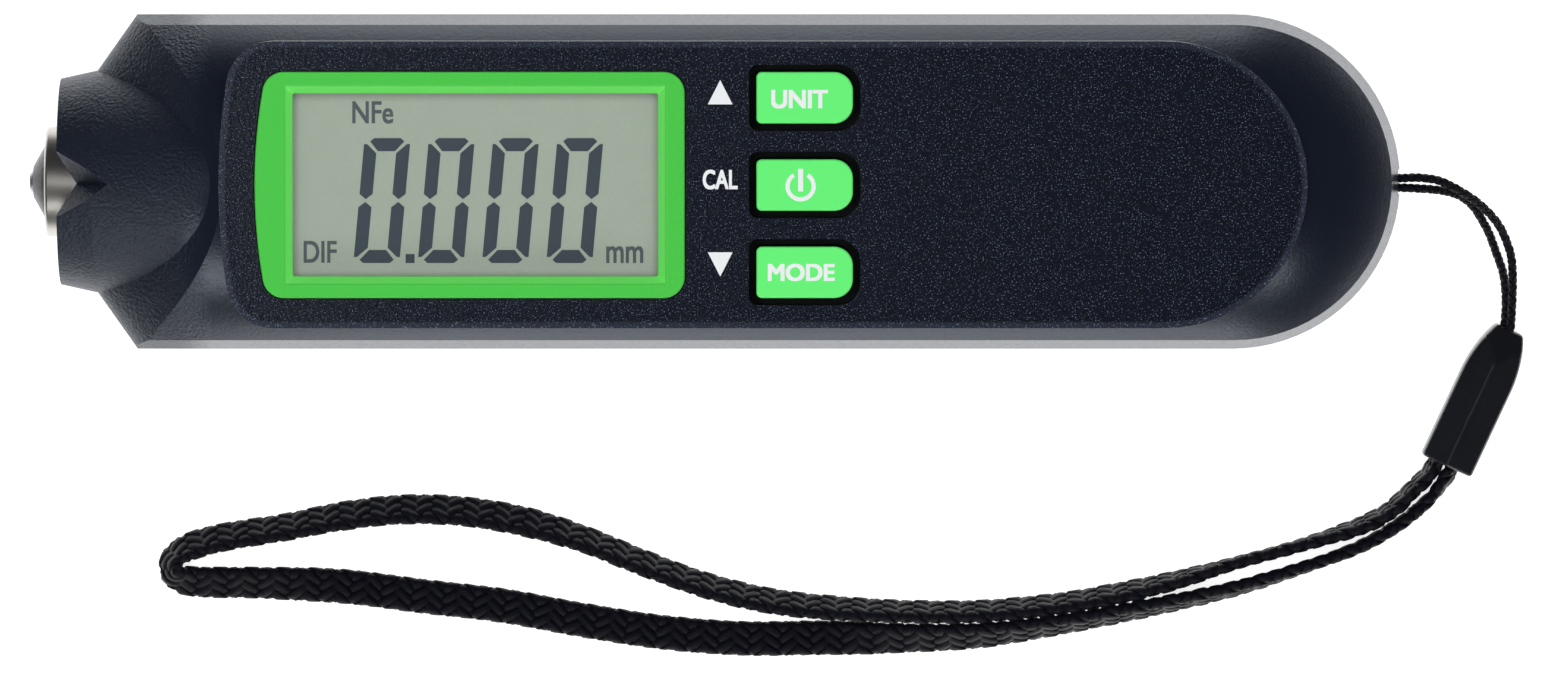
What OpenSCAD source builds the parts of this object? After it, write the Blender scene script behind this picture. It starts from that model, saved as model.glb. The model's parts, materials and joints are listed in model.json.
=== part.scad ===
// Pocket coating thickness gauge: a stick housing with a sprung probe in its nose, a display
// and three keys on its panel, two cells behind a sliding cover, and a wrist strap on its tail.
// X runs from the probe's tip to the tail, Z is up, and the gauge lies on its flat back.

/* [Housing] */
// Length of the housing from the nose face to the tail
body_length = 120; // [118:1:135]
// Width of the housing at the parting line
body_width = 30; // [29.5:0.5:36]
// Height of the panel's face above the table
panel_height = 22.5; // [22:0.25:25]
// Height of the parting plane and of the probe's axis
axis_height = 11; // [10.75:0.25:11.5]
// Thickness of the housing's walls
wall = 2; // [1.8:0.1:2.2]
// Rise of the dome's crown above the parting plane
crown_rise = 10.6; // [10.2:0.1:11]
// Rise of the crease between the side wall and the dome
crease_rise = 3.6; // [3:0.1:4.2]
// Inward draft of the side wall at the crease
crease_inset = 0.9; // [0.5:0.1:1.2]
// Width of the flat back
back_width = 24; // [23.5:0.5:26]

/* [Nose] */
// Radius of the nose at its face
nose_radius = 9.25; // [9:0.05:9.6]
// Radius of the nose at its root
nose_root_radius = 9.95; // [9.7:0.05:10.2]
// Length of the nose's taper
nose_taper = 3.2; // [2.5:0.1:4]
// How far ahead of the nose face the flare's apex lies
flare_lead = 3.75; // [3.25:0.25:4.5]
// Half width that the flare gains for each unit of length
flare_width_slope = 1.42; // [1.3:0.02:1.6]
// Half height that the flare gains for each unit of length
flare_height_slope = 0.57; // [0.54:0.01:0.64]
// Included angle of the groove that seats the nose on a rod
groove_angle = 117; // [90:1:130]
// Depth of that groove behind the nose face
groove_depth = 1.7; // [1.2:0.1:2.2]
// Lean of the bevel that opens the groove outwards
groove_bevel_lean = 41.5; // [35:0.5:48]
// Included angle of that bevel
groove_bevel_angle = 96; // [84:1:110]
// Distance from the axis where that bevel starts
groove_bevel_start = 6.7; // [6.2:0.1:7.2]

/* [Probe] */
// How far the probe's tip stands out of the nose
probe_reach = 2.8; // [2.6:0.1:3.2]
// Travel of the probe into the nose
probe_travel = 2.6; // [1.5:0.1:2.6]
// Radius of the probe's sleeve
sleeve_radius = 4.9; // [4.6:0.05:5.1]
// How far the sleeve stands out of the nose
sleeve_reach = 1.35; // [1:0.05:1.6]
// Distance from the nose face to the sleeve's back end
sleeve_depth = 11.6; // [11:0.1:12]
// Radius of the bore through the sleeve
sleeve_bore = 3.45; // [3.2:0.05:3.6]
// Radius of the wear tip
tip_radius = 1; // [0.8:0.05:1.2]
// Depth of the guide's front end behind the nose face
guide_depth = 4.6; // [4.4:0.1:5]
// Outer radius of the guide
guide_radius = 6.8; // [6.7:0.05:6.9]
// Room that the probe's spring keeps when the probe is pushed in
spring_room = 4.2; // [4:0.1:4.4]
// Radial running clearance of the sleeve in the guide
probe_clearance = 0.06; // [0.04:0.01:0.1]
// Radius of the probe spring's wire
spring_wire = 0.3; // [0.2:0.05:0.35]
// Turns of the probe spring
spring_turns = 4; // [3:1:5]

/* [Panel] */
// Distance from the nose face to the panel's front edge
panel_start = 14.5; // [14:0.1:15]
// Distance from the panel's round end to the tail
panel_end_gap = 8.7; // [8:0.1:10]
// Width of the panel
panel_width = 25.5; // [24.6:0.1:26]
// Radius of the panel's bowed front edge
panel_bow = 58; // [50:1:70]
// Radius of the panel's front corners
panel_corner = 4.2; // [3:0.1:5]
// Thickness of the panel's side walls
panel_wall = 1.2; // [1:0.05:1.3]
// Width and height of the step along the panel's upper edge
panel_edge = 0.6; // [0.3:0.1:0.8]

/* [Display] */
// Distance from the nose face to the bezel's front edge
bezel_start = 17.75; // [17.5:0.05:18]
// Radius of the bezel's bowed front edge
bezel_bow = 50; // [45:1:60]
// Radius of the bezel's corners
bezel_corner = 1.9; // [1.5:0.1:2.2]
// Depth of the bezel's seat below the panel's face
bezel_seat = 1.2; // [1:0.05:1.3]
// How far the bezel stands proud of the panel
bezel_proud = 0.35; // [0.2:0.05:0.5]
// Length of the display window
window_length = 32.3; // [31.5:0.1:32.8]
// Width of the display window
window_width = 16.1; // [15.6:0.1:16.4]
// Width of the bezel's border ahead of the window
front_border = 3.45; // [3.2:0.05:3.8]
// Width of the bezel's border behind the window
back_border = 2.45; // [2.2:0.05:3]
// Width of the bezel's borders beside the window
side_border = 2; // [1.8:0.05:2.2]
// Width of the bevel around the window
window_bevel = 0.8; // [0.4:0.1:1]
// Thickness of the window pane
pane_thickness = 0.75; // [0.6:0.05:0.8]
// How far the display glass reaches past the window
lcd_margin = 1.5; // [1.3:0.05:1.7]
// Thickness of the display glass
lcd_thickness = 2; // [1.6:0.1:2.2]

/* [Keys] */
// Distance from the bezel to the middle of the keys
key_offset = 10.65; // [10.4:0.05:12]
// Length of a key
key_length = 8.6; // [8:0.1:9]
// Width of a key
key_width = 4.6; // [4.2:0.1:4.8]
// Distance from one key to the next
key_pitch = 7.75; // [7.5:0.05:7.9]
// Gap around a key in its opening
key_gap = 0.65; // [0.4:0.05:0.7]
// Rounding of a key's front corners
key_front_round = 0.5; // [0.3:0.1:1]
// Rounding of a key's back corners
key_back_round = 1.7; // [1:0.1:2]
// How far a key stands proud of the panel
key_proud = 0.5; // [0.3:0.05:0.8]
// Travel of a key
key_travel = 0.6; // [0.3:0.05:0.7]
// Thickness of the flange that keeps a key in
key_flange = 0.9; // [0.7:0.05:1]
// Side of a switch's square base
switch_side = 6; // [5:0.1:6.2]
// Height of a switch's base
switch_height = 2.2; // [2:0.1:2.4]
// Radius of a switch's stem
stem_radius = 1.2; // [1:0.05:1.4]

/* [Board] */
// Thickness of the circuit board
board_thickness = 1.2; // [1:0.1:1.6]
// Width of the circuit board
board_width = 20.2; // [19.8:0.1:20.4]
// Distance from the middle of the keys to the board's back edge
board_tail = 9; // [8:0.1:12]
// Side of the controller chip
chip_side = 9; // [6:0.5:10]

/* [Power] */
// Diameter of a cell
cell_diameter = 10.3; // [10.1:0.05:10.4]
// Length of a cell over its contacts
cell_length = 44.5; // [44:0.1:44.8]
// Room around a cell
cell_clearance = 0.2; // [0.1:0.05:0.3]
// Length of a battery spring
cell_spring = 2.4; // [2:0.1:2.8]
// Thickness of the contact plates
contact_thickness = 0.4; // [0.3:0.05:0.5]
// Thickness of the battery cover
cover_thickness = 2.2; // [2:0.1:2.4]
// Height of the cover's tongues
tongue_height = 1.1; // [0.9:0.05:1.2]
// Reach of the cover's tongues into the housing
tongue_reach = 0.9; // [0.6:0.05:1]
// Sliding clearance of the cover
cover_clearance = 0.1; // [0.06:0.01:0.15]

/* [Strap] */
// Diameter of the thin loop's cord
thin_cord = 0.7; // [0.6:0.05:0.8]
// Radius of the post that holds the thin loop
post_radius = 0.7; // [0.6:0.05:0.75]
// Length of the joiner
joiner_length = 13.6; // [12:0.1:15]
// Width of the joiner
joiner_width = 4.9; // [4.6:0.1:5.6]
// Height of the joiner
joiner_height = 5; // [4.6:0.1:5.4]
// Width of the wrist loop's flat braid
braid_width = 3.4; // [3:0.1:3.6]
// Thickness of that braid
braid_thickness = 1.25; // [1:0.05:1.5]

/* [Hidden] */
$fn = 96;

// Colours
BODY_COLOUR = [0.09, 0.11, 0.16];
GREEN = [0.28, 0.75, 0.27];
KEY_GREEN = [0.44, 0.97, 0.51];
GREY_PLASTIC = [0.30, 0.31, 0.33];
BLACK = [0.06, 0.06, 0.09];
NICKEL = [0.86, 0.85, 0.83];
STEEL = [0.60, 0.61, 0.63];
BRASS = [0.78, 0.63, 0.32];

// Room for a cut to run past the face it opens
over = 1;
// Gap between pieces that lie loosely against each other
fit_gap = 0.1;
// How far a corner's arc stands past the bowed edge, so that the two cross cleanly
blend = 0.002;

// Places along the gauge
nose_x = -(body_length + probe_reach) / 2 + probe_reach;
tail_x = nose_x + body_length;
tail_centre = tail_x - body_width / 2;
panel_front = nose_x + panel_start;
panel_back = tail_x - panel_end_gap;
bezel_front = nose_x + bezel_start;
bezel_length = front_border + window_length + back_border;
bezel_width = window_width + 2 * side_border;
window_middle = bezel_front + front_border + window_length / 2;
lcd_length = window_length + 2 * lcd_margin;
lcd_width = window_width + 2 * lcd_margin;
lcd_front = window_middle - lcd_length / 2;
key_x = bezel_front + bezel_length + key_offset;
cap_thickness = 1.2;
cap_front = sleeve_depth + probe_travel + spring_room;
guide_back = cap_front + cap_thickness;
lcd_room = 0.6;
cavity_front = min(guide_back, lcd_front - nose_x) - lcd_room;
board_front = nose_x + guide_back + 0.7;
board_back = key_x + board_tail;

// Section of the housing, measured from the parting plane
crease_y = body_width / 2 - crease_inset;
dome_height = crown_rise - crease_rise;
dome_radius = (crease_y * crease_y + dome_height * dome_height) / (2 * dome_height);
dome_centre = crown_rise - dome_radius;
belly_centre = (pow(back_width / 2, 2) + pow(axis_height, 2) - pow(crease_y, 2) - pow(crease_rise, 2))
    / (2 * (crease_rise - axis_height));
belly_radius = norm([crease_y, crease_rise + belly_centre]);

// Heights inside the housing
ceiling = panel_height - wall;
panel_rise = panel_height - axis_height - crease_rise;
seat_floor = panel_height - bezel_seat;
pane_top = seat_floor + pane_thickness;
lcd_bottom = ceiling - lcd_thickness;
cover_bottom = 0.1;
cover_top = cover_bottom + cover_thickness;
tongue_bottom = cover_top - tongue_height;
slot_top = cover_top + cover_clearance;
cell_middle = cover_top + cell_clearance + cell_diameter / 2;
bay_ceiling = cell_middle + cell_diameter / 2 + cell_clearance;
bay_roof = 0.8;
bay_top = bay_ceiling + bay_roof;
board_head_height = 1;
board_bottom = bay_top + board_head_height + 2 * fit_gap;
board_top = board_bottom + board_thickness;

// Screws
board_screw_x = (lcd_front + lcd_length + key_x - key_length / 2 - key_gap) / 2 - 0.9;
board_screw_y = board_width / 2 - 2;
board_boss = 1.8;
front_screw = [nose_x + cavity_front - 2.85, guide_radius + 2.4];
tail_screw = [tail_x - 7.3, 5.4];
screw_head = 1.75;
screw_head_height = 1.6;
screw_shank = 1;
screw_core = 0.78;
screw_core_length = 4.5;
boss_radius = 2.3;
front_seat = 3.2;
tail_seat = slot_top + 2;

// Battery bay
cell_offset = cell_diameter / 2 + fit_gap / 2;
bay_half = cell_offset + cell_diameter / 2 + cell_clearance;
bay_wall = 0.8;
bay_length = cell_length + cell_spring + 2 * contact_thickness;
bay_back = tail_screw[0] - boss_radius - 2.3;
bay_front = bay_back - bay_length;
cover_half = bay_half;
cover_front = bay_front - 1;
grip_grooves = 5;
grip_spacing = 1.8;

// Keys and switches
KEY_ROWS = [1, 0, -1];
key_flange_rim = 0.4;
flange_top = ceiling - fit_gap;
stem_foot = 0.8;
stem_top = board_top + switch_height + 0.9;

// Probe
flange_radius = guide_radius - 1.1;
chamber_radius = guide_radius - 0.95;
flange_thickness = 1.2;
lead_radius = 0.8;
core_radius = sleeve_bore - 0.03;
core_neck = 1.5;
core_shoulder = 2;
core_flange_front = sleeve_depth - 2.6;
core_back = sleeve_depth - 0.6;
tip_step = 0.3;
tip_root = 0.2;
core_front_radius = tip_radius + 0.4;
socket_size = [4, 5, 2];
socket_front = board_front + 7;

// Strap anchor
thin_radius = thin_cord / 2;
post_depth = 3;
post_x = tail_x - post_depth;
pocket_radius = post_radius + thin_cord + 0.3;
pocket_height = 2.6;
mouth_half = thin_cord + 0.4;
mouth_height = thin_cord + 0.5;
anchor_wall = 1.6;

// Joiner, from the mouth of the wrist loop to the mouth of the thin loop, placed from the tail
joiner_start = [4.6, -25.9];
joiner_heading = 65;
joiner_mouth = 2.6;
joiner_hip = 3.4;
joiner_end_height = 3.4;
floor_gap = 0.05;

// Route of the thin loop, out of the joiner, round the post and back: x from the tail, y, height
THIN_POST = post_radius + thin_radius + 0.1;
THIN_ROUTE = concat(
    [
        [9.55, -14.2, 2.35], [9.86, -13.1, 2.6], [9.96, -11.1, 2.95], [9.85, -9.5, 3.2],
        [9.6, -8.2, 3.6], [9, -6.6, 4.4], [8.35, -4.95, 5.4], [7.7, -3.75, 6.5],
        [6.8, -2.4, 7.65], [5.75, -1.5, 8.75], [4.7, -1.05, 9.5], [3.2, -0.75, 10.4],
        [1.2, -0.6, 10.9], [0, -0.55, axis_height], [-1, -0.5, axis_height],
        [-1.6, -0.55, axis_height], [-2.2, -0.9, axis_height]
    ],
    [for (a = [-90 : -45 : -270]) [THIN_POST * cos(a) - post_depth, THIN_POST * sin(a), axis_height]],
    [
        [-2.2, 0.9, axis_height], [-1.6, 0.5, axis_height], [-1, 0.4, axis_height],
        [0, 0.3, axis_height], [1.2, 0.35, 11], [2.2, 0.3, 10.9], [3.4, 0.1, 10.75],
        [4.6, -0.4, 10.45], [5.75, -1.05, 9.75], [6.95, -1.85, 8.7], [8.25, -3, 7.3],
        [9.25, -4.25, 6], [9.9, -5.6, 5.1], [10.35, -7, 4.5], [10.5, -8.65, 4.1],
        [10.5, -10.3, 3.8], [10.45, -11.9, 3.5], [10.35, -13.5, 3.2], [10.05, -14.6, 3]
    ]
);

// Route of the wrist loop, out of the joiner, round its fold and back: x from the tail, y, width.
// The braid is flat, so it stands on edge where it looks narrow.
WRIST_ROUTE = [
    [4.1, -24.75, 1.4], [3.55, -25.9, 1.4], [2.8, -26.95, 1.4], [1.25, -28.45, 1.45],
    [-0.35, -29.95, 1.45], [-3.2, -31.45, 1.45], [-8.8, -33.25, 1.25], [-14.3, -34.75, 1.25],
    [-19.7, -36.3, 1.5], [-25.1, -37.55, 1.75], [-30.6, -38.5, 1.8],
    [-37.6, -39.15, 1.85], [-44.8, -39.15, 1.9], [-52, -38.75, 2.1],
    [-57.3, -38.05, 2.2], [-62.6, -36.7, 2.2], [-68, -34.75, 2.25],
    [-73.4, -32.6, 2.35], [-78.9, -31, 2.7], [-84.4, -30.1, 2.7],
    [-89.8, -29.95, 2.7], [-95.2, -30.55, 2.6], [-100.4, -31.55, 2.4], [-105.4, -32.35, 2.5],
    [-108.4, -33.1, 2.5], [-110.2, -34, 2.2], [-110.7, -35, 2.1], [-110.3, -36, 2.3],
    [-108.2, -36.5, 3], [-102.4, -36.6, 3.1], [-95, -36.95, 3.4], [-87.8, -37.85, 3.4],
    [-80.6, -38.7, 3.4], [-73.4, -40, 3.4], [-66.2, -41.1, 3.4], [-59, -41.65, 3.4], [-52, -41.6, 3.4],
    [-44.8, -41.6, 2.9], [-37.6, -41.35, 2.4], [-30.6, -40.4, 1.9], [-25.1, -39.4, 1.75],
    [-19.7, -38.3, 1.6], [-14.3, -37.05, 1.45], [-8.8, -35.35, 1.3], [-3.4, -33.4, 1.25],
    [0.2, -31.4, 1.25], [2.9, -29.2, 1.25], [4.05, -27.85, 1.35], [4.95, -26.55, 1.4], [5.45, -25.4, 1.4]
];
RING_SIDES = 8;

// Profiles and swept forms

// Half of the housing's section above the parting plane, moved in by inset
module upper_section(inset) {
    half = body_width / 2 - inset;
    y = crease_y - inset;
    r = dome_radius - inset;
    z = dome_centre + sqrt(r * r - y * y);
    polygon([[-half, 0], [half, 0], [y, z], [-y, z]]);
    intersection() {
        translate([0, dome_centre]) circle(r);
        translate([-half, z]) square([2 * half, r]);
    }
}

// Half of the housing's section below the parting plane, moved in by inset
module lower_section(inset) {
    half = body_width / 2 - inset;
    r = belly_radius - inset;
    y = min(crease_y - inset, r);
    z = belly_centre + (crease_rise + belly_centre < 0 ? 1 : -1) * sqrt(max(0, r * r - y * y));
    polygon([[-half, 0], [half, 0], [y, z], [-y, z]]);
    intersection() {
        translate([0, belly_centre]) circle(r);
        translate([-half, inset - axis_height]) square([2 * half, axis_height - inset + z]);
    }
}

// Runs a section from a place along the gauge to the tail and round it
module run_to_tail(from_x) {
    translate([from_x, 0, axis_height])
        rotate([90, 0, 90]) linear_extrude(tail_centre - from_x) children();
    translate([tail_centre, 0, axis_height])
        rotate([0, 0, -90]) rotate_extrude(angle = 180) intersection() {
            children();
            translate([0, -body_width]) square(2 * body_width);
        }
}

// Elliptical cone that flares the housing out of the nose, and all of the room behind it
module flare() {
    front = flare_lead + 1.2;
    back = (crown_rise + 2) / flare_height_slope;
    translate([nose_x - flare_lead, 0, axis_height]) {
        scale([1, 1, flare_height_slope / flare_width_slope]) translate([front, 0, 0])
            rotate([0, 90, 0])
                cylinder(h = back - front, r1 = front * flare_width_slope, r2 = back * flare_width_slope);
        translate([back, -body_width, -body_width]) cube([body_length, 2 * body_width, 2 * body_width]);
    }
}

// Turned solid on the probe's axis: points are [radius, distance behind the nose face]
module on_axis(points) {
    translate([nose_x, 0, axis_height]) rotate([0, 90, 0]) rotate_extrude() polygon(points);
}

module nose() {
    root = panel_start + 2;
    on_axis([
        [0, 0], [nose_radius, 0], [nose_root_radius, nose_taper], [nose_root_radius, root], [0, root]
    ]);
}

module above_parting() {
    translate([-body_length, -body_width, axis_height]) cube(2 * body_length);
}

module below_parting() {
    translate([-body_length, -body_width, axis_height - 2 * body_length]) cube(2 * body_length);
}

// Outline with a bowed front edge between rounded corners, grown by grow
module bowed_outline(front, back, width, bow, front_round, back_round, grow = 0) {
    half = width / 2 + grow;
    rf = front_round + grow;
    bow_radius = bow + grow;
    bow_x = front + bow;
    corner_y = half - rf;
    corner_x = bow_x - sqrt(pow(bow_radius - rf + blend, 2) - pow(corner_y, 2));
    touch_y = corner_y * bow_radius / (bow_radius - rf);
    translate([corner_x, 0]) round_end(back + grow - corner_x, half, back_round + grow);
    for (side = [-1, 1]) {
        translate([corner_x, side * corner_y]) circle(rf);
    }
    intersection() {
        translate([bow_x, 0]) circle(bow_radius);
        translate([corner_x - 2 * rf, -touch_y]) square([2 * rf + 1, 2 * touch_y]);
    }
}

// Strip along X whose far corners are rounded, up to a full half circle
module round_end(length, half, rounding) {
    translate([0, -half]) square([length - rounding, 2 * half]);
    if (rounding < half) {
        translate([0, rounding - half]) square([length, 2 * (half - rounding)]);
        for (side = [-1, 1]) {
            translate([length - rounding, side * (half - rounding)]) circle(rounding);
        }
    } else {
        translate([length - half, 0]) circle(half);
    }
}

module panel_outline(grow = 0) {
    bowed_outline(panel_front, panel_back, panel_width, panel_bow, panel_corner, panel_width / 2, grow);
}

module bezel_outline(grow = 0) {
    bowed_outline(
        bezel_front, bezel_front + bezel_length, bezel_width, bezel_bow, bezel_corner, bezel_corner, grow
    );
}

// Outline of a key about its own middle, grown by grow
module key_outline(grow = 0) {
    half_length = key_length / 2 + grow;
    half_width = key_width / 2 + grow;
    round_end(half_length, half_width, key_back_round + grow / 2);
    mirror([1, 0]) round_end(half_length, half_width, key_front_round + grow / 2);
}

// Block that opens upwards from a rectangle by the same slope on all sides
module window_frustum(size, bottom, top, spread) {
    intersection_for (turn = [0, 1]) {
        a = size[turn] / 2;
        b = size[1 - turn] / 2 + 2 * spread;
        translate([window_middle, 0, 0]) rotate([90, 0, 90 * turn])
            translate([0, 0, -b]) linear_extrude(2 * b)
                polygon([[-a, bottom], [a, bottom], [a + spread, top], [-a - spread, top]]);
    }
}

// Groove across the nose, above the axis
module nose_groove() {
    reach = 2 * nose_root_radius;
    translate([nose_x + groove_depth, 0, axis_height]) {
        linear_extrude(reach) groove_wedge(groove_angle);
        translate([0, 0, groove_bevel_start]) rotate([0, groove_bevel_lean, 0])
            linear_extrude(reach) groove_wedge(groove_bevel_angle);
    }
}

module groove_wedge(angle) {
    reach = 2 * nose_root_radius;
    polygon([[0, 0], [-reach, reach * tan(angle / 2)], [-reach, -reach * tan(angle / 2)]]);
}

// Tube of oval rings along a route: at holds the ring centres, widths and heights its sizes
module ring_tube(at, widths, heights) {
    count = len(at);
    ring = function(i)
        let (
            ahead = at[min(i + 1, count - 1)] - at[max(i - 1, 0)],
            along = ahead / norm(ahead),
            side = [-along[1], along[0], 0] / norm([along[0], along[1]]),
            up = cross(along, side)
        )
        [for (k = [0 : RING_SIDES - 1])
            at[i] + side * cos(360 * k / RING_SIDES) * widths[i] / 2
                + up * sin(360 * k / RING_SIDES) * heights[i] / 2];
    points = [for (i = [0 : count - 1]) each ring(i)];
    walls = [for (i = [0 : count - 2]) for (k = [0 : RING_SIDES - 1])
        let (a = i * RING_SIDES + k, b = i * RING_SIDES + (k + 1) % RING_SIDES)
        each [[a, a + RING_SIDES, b], [b, a + RING_SIDES, b + RING_SIDES]]];
    first = [[for (k = [0 : RING_SIDES - 1]) k]];
    last = [[for (k = [RING_SIDES - 1 : -1 : 0]) (count - 1) * RING_SIDES + k]];
    polyhedron(points = points, faces = concat(walls, first, last));
}

// Helical spring along Z from 0 to length, from one mean radius to another
module coil_spring(from_radius, to_radius, wire, length, turns) {
    steps = 16 * turns;
    route = [for (i = [0 : steps])
        let (t = i / steps, r = from_radius + (to_radius - from_radius) * t)
        [r * cos(360 * turns * t), r * sin(360 * turns * t), wire + (length - 2 * wire) * t]];
    sizes = [for (i = [0 : steps]) 2 * wire];
    ring_tube(route, sizes, sizes);
}

// Housing

module upper_outer() {
    intersection() {
        run_to_tail(nose_x + nose_taper) upper_section(0);
        flare();
    }
    intersection() {
        nose();
        above_parting();
    }
    translate([0, 0, axis_height + crease_rise]) {
        linear_extrude(panel_rise - panel_edge) panel_outline();
        linear_extrude(panel_rise) panel_outline(-panel_edge);
    }
}

module upper_cavity() {
    run_to_tail(nose_x + cavity_front) upper_section(wall);
    intersection() {
        translate([0, 0, axis_height]) linear_extrude(ceiling - axis_height) panel_outline(-panel_wall);
        translate([nose_x + cavity_front, -body_width, 0])
            cube([body_length, 2 * body_width, panel_height]);
    }
}

module upper_fittings() {
    screw_hole(tail_screw, axis_height, axis_height + crown_rise, boss_radius);
    strap_anchor();
}

// Bosses under the panel that the board is screwed to
module board_bosses() {
    screw_hole([board_screw_x, board_screw_y], board_top, ceiling + wall / 2, board_boss);
}

// Block in the tail that the strap's pocket is cut from
module strap_anchor() {
    depth = tail_x - post_x + pocket_radius + anchor_wall;
    half = pocket_radius + anchor_wall;
    height = pocket_height + 2 * anchor_wall;
    translate([tail_x - depth, -half, axis_height - height / 2]) cube([depth, 2 * half, height]);
}

// Pocket for the thin loop, with the post left standing in it
module strap_pocket() {
    difference() {
        translate([post_x, 0, axis_height - pocket_height / 2])
            cylinder(h = pocket_height, r = pocket_radius);
        translate([post_x, 0, axis_height - pocket_height])
            cylinder(h = 2 * pocket_height, r = post_radius);
    }
    translate([post_x + post_radius + fit_gap, -mouth_half, axis_height - mouth_height / 2])
        cube([tail_x - post_x, 2 * mouth_half, mouth_height]);
}

// Room in the nose for the sleeve and for the guide
module probe_room() {
    on_axis([
        [0, -over], [sleeve_radius + 0.3, -over], [sleeve_radius + 0.3, guide_depth],
        [guide_radius + fit_gap / 2, guide_depth], [guide_radius + fit_gap / 2, guide_back], [0, guide_back]
    ]);
}

module screw_hole(place, bottom, top, radius) {
    for (side = [-1, 1]) {
        translate([place[0], side * place[1], bottom]) cylinder(h = top - bottom, r = radius);
    }
}

module upper_shell() {
    thread_top = axis_height + screw_core_length + 0.5;
    color(BODY_COLOUR) difference() {
        union() {
            difference() {
                upper_outer();
                upper_cavity();
            }
            intersection() {
                run_to_tail(nose_x + cavity_front) upper_section(wall / 2);
                upper_fittings();
            }
            board_bosses();
        }
        probe_room();
        nose_groove();
        strap_pocket();
        translate([0, 0, seat_floor]) linear_extrude(bezel_seat + over) bezel_outline(fit_gap);
        translate([window_middle, 0, ceiling - over]) linear_extrude(wall + over)
            square([window_length + 0.8, window_width + 0.7], center = true);
        for (row = KEY_ROWS) {
            translate([key_x, row * key_pitch, ceiling - over]) linear_extrude(wall + 2 * over)
                key_outline(key_gap);
        }
        screw_hole(
            [board_screw_x, board_screw_y], board_top - over, board_top + screw_core_length, screw_core
        );
        screw_hole(front_screw, axis_height - over, thread_top, screw_core + 0.02);
        screw_hole(tail_screw, axis_height - over, thread_top, screw_core + 0.02);
    }
}

module lower_outer() {
    intersection() {
        run_to_tail(nose_x + nose_taper) lower_section(0);
        flare();
    }
    intersection() {
        nose();
        below_parting();
    }
}

// Hollow of the lower shell, ahead of the battery bay and behind it
module lower_cavity() {
    intersection() {
        run_to_tail(nose_x + cavity_front) lower_section(wall);
        union() {
            translate([nose_x, -body_width, 0])
                cube([bay_front - bay_wall - nose_x, 2 * body_width, axis_height + over]);
            translate([bay_back + bay_wall, -body_width, slot_top + wall])
                cube([body_width, 2 * body_width, axis_height]);
        }
    }
}

module bay_block() {
    half = bay_half + bay_wall;
    translate([bay_front - bay_wall, -half, slot_top])
        cube([bay_length + 2 * bay_wall, 2 * half, bay_top - slot_top]);
}

// Slot that the cover slides in, open at the tail
module cover_slot() {
    lip_half = cover_half + cover_clearance;
    tongue_half = lip_half + tongue_reach;
    length = tail_x - cover_front + over;
    translate([cover_front, -lip_half, -over]) cube([length, 2 * lip_half, slot_top + over]);
    translate([cover_front, -tongue_half, tongue_bottom - cover_clearance])
        cube([length, 2 * tongue_half, tongue_height + 2 * cover_clearance]);
}

module lower_shell() {
    color(BODY_COLOUR) difference() {
        union() {
            difference() {
                lower_outer();
                lower_cavity();
            }
            bay_block();
            intersection() {
                lower_outer();
                union() {
                    strap_anchor();
                    screw_hole(tail_screw, slot_top, axis_height, boss_radius);
                }
            }
        }
        translate([bay_front, -bay_half, 0]) cube([bay_length, 2 * bay_half, bay_ceiling]);
        cover_slot();
        probe_room();
        translate([0, 0, 2 * axis_height]) mirror([0, 0, 1]) nose_groove();
        strap_pocket();
        screw_hole(front_screw, -over, front_seat, screw_head + 0.25);
        screw_hole(front_screw, 0, axis_height + over, screw_shank + fit_gap);
        screw_hole(tail_screw, 0, tail_seat, screw_head + 0.25);
        screw_hole(tail_screw, 0, axis_height + over, screw_shank + fit_gap);
    }
}

module battery_cover() {
    front = cover_front + cover_clearance;
    length = tail_x - front;
    tongue_half = cover_half + tongue_reach;
    grip_middle = bay_back - 3;
    color(BODY_COLOUR) intersection() {
        lower_outer();
        difference() {
            union() {
                translate([front, -cover_half, cover_bottom])
                    cube([length, 2 * cover_half, cover_thickness]);
                translate([front, -tongue_half, tongue_bottom])
                    cube([length, 2 * tongue_half, tongue_height]);
            }
            for (i = [0 : grip_grooves - 1]) {
                translate([grip_middle + (i - (grip_grooves - 1) / 2) * grip_spacing, 0, cover_bottom])
                    rotate([90, 0, 0]) cylinder(h = cover_half, r = 0.5, center = true);
            }
        }
    }
}

// Display

module display_bezel() {
    lip = pane_top;
    top = panel_height + bezel_proud;
    color(GREEN) difference() {
        translate([0, 0, seat_floor]) linear_extrude(top - seat_floor) bezel_outline();
        translate([window_middle, 0, seat_floor - over]) linear_extrude(over + pane_thickness)
            square([window_length + 2, window_width + 2], center = true);
        window_frustum(
            [window_length - 0.02, window_width - 0.02], lip - 0.01, top + 0.01, window_bevel
        );
    }
}

module display_window() {
    color([0.85, 0.9, 0.88, 0.35]) translate([window_middle, 0, seat_floor]) linear_extrude(pane_thickness)
        square([window_length + 2 - fit_gap, window_width + 2 - fit_gap], center = true);
}

module lcd_panel() {
    color([0.64, 0.69, 0.63]) translate([window_middle, 0, lcd_bottom]) linear_extrude(lcd_thickness)
        square([lcd_length, lcd_width], center = true);
}

module zebra_strips() {
    strip_width = 1.8;
    for (side = [-1, 1]) {
        color([0.75, 0.55, 0.55])
            translate([window_middle, side * (lcd_width - strip_width) / 2, board_top])
                linear_extrude(lcd_bottom - board_top) square([window_length, strip_width], center = true);
    }
}

// Board

module main_board() {
    color([0.10, 0.38, 0.22]) difference() {
        translate([board_front, -board_width / 2, board_bottom])
            cube([board_back - board_front, board_width, board_thickness]);
        screw_hole(
            [board_screw_x, board_screw_y], board_bottom - over, board_top + over, screw_core + fit_gap
        );
    }
}

module controller_chip() {
    color(BLACK) translate([window_middle, 0, board_top]) linear_extrude(1.2)
        square(chip_side, center = true);
}

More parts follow.
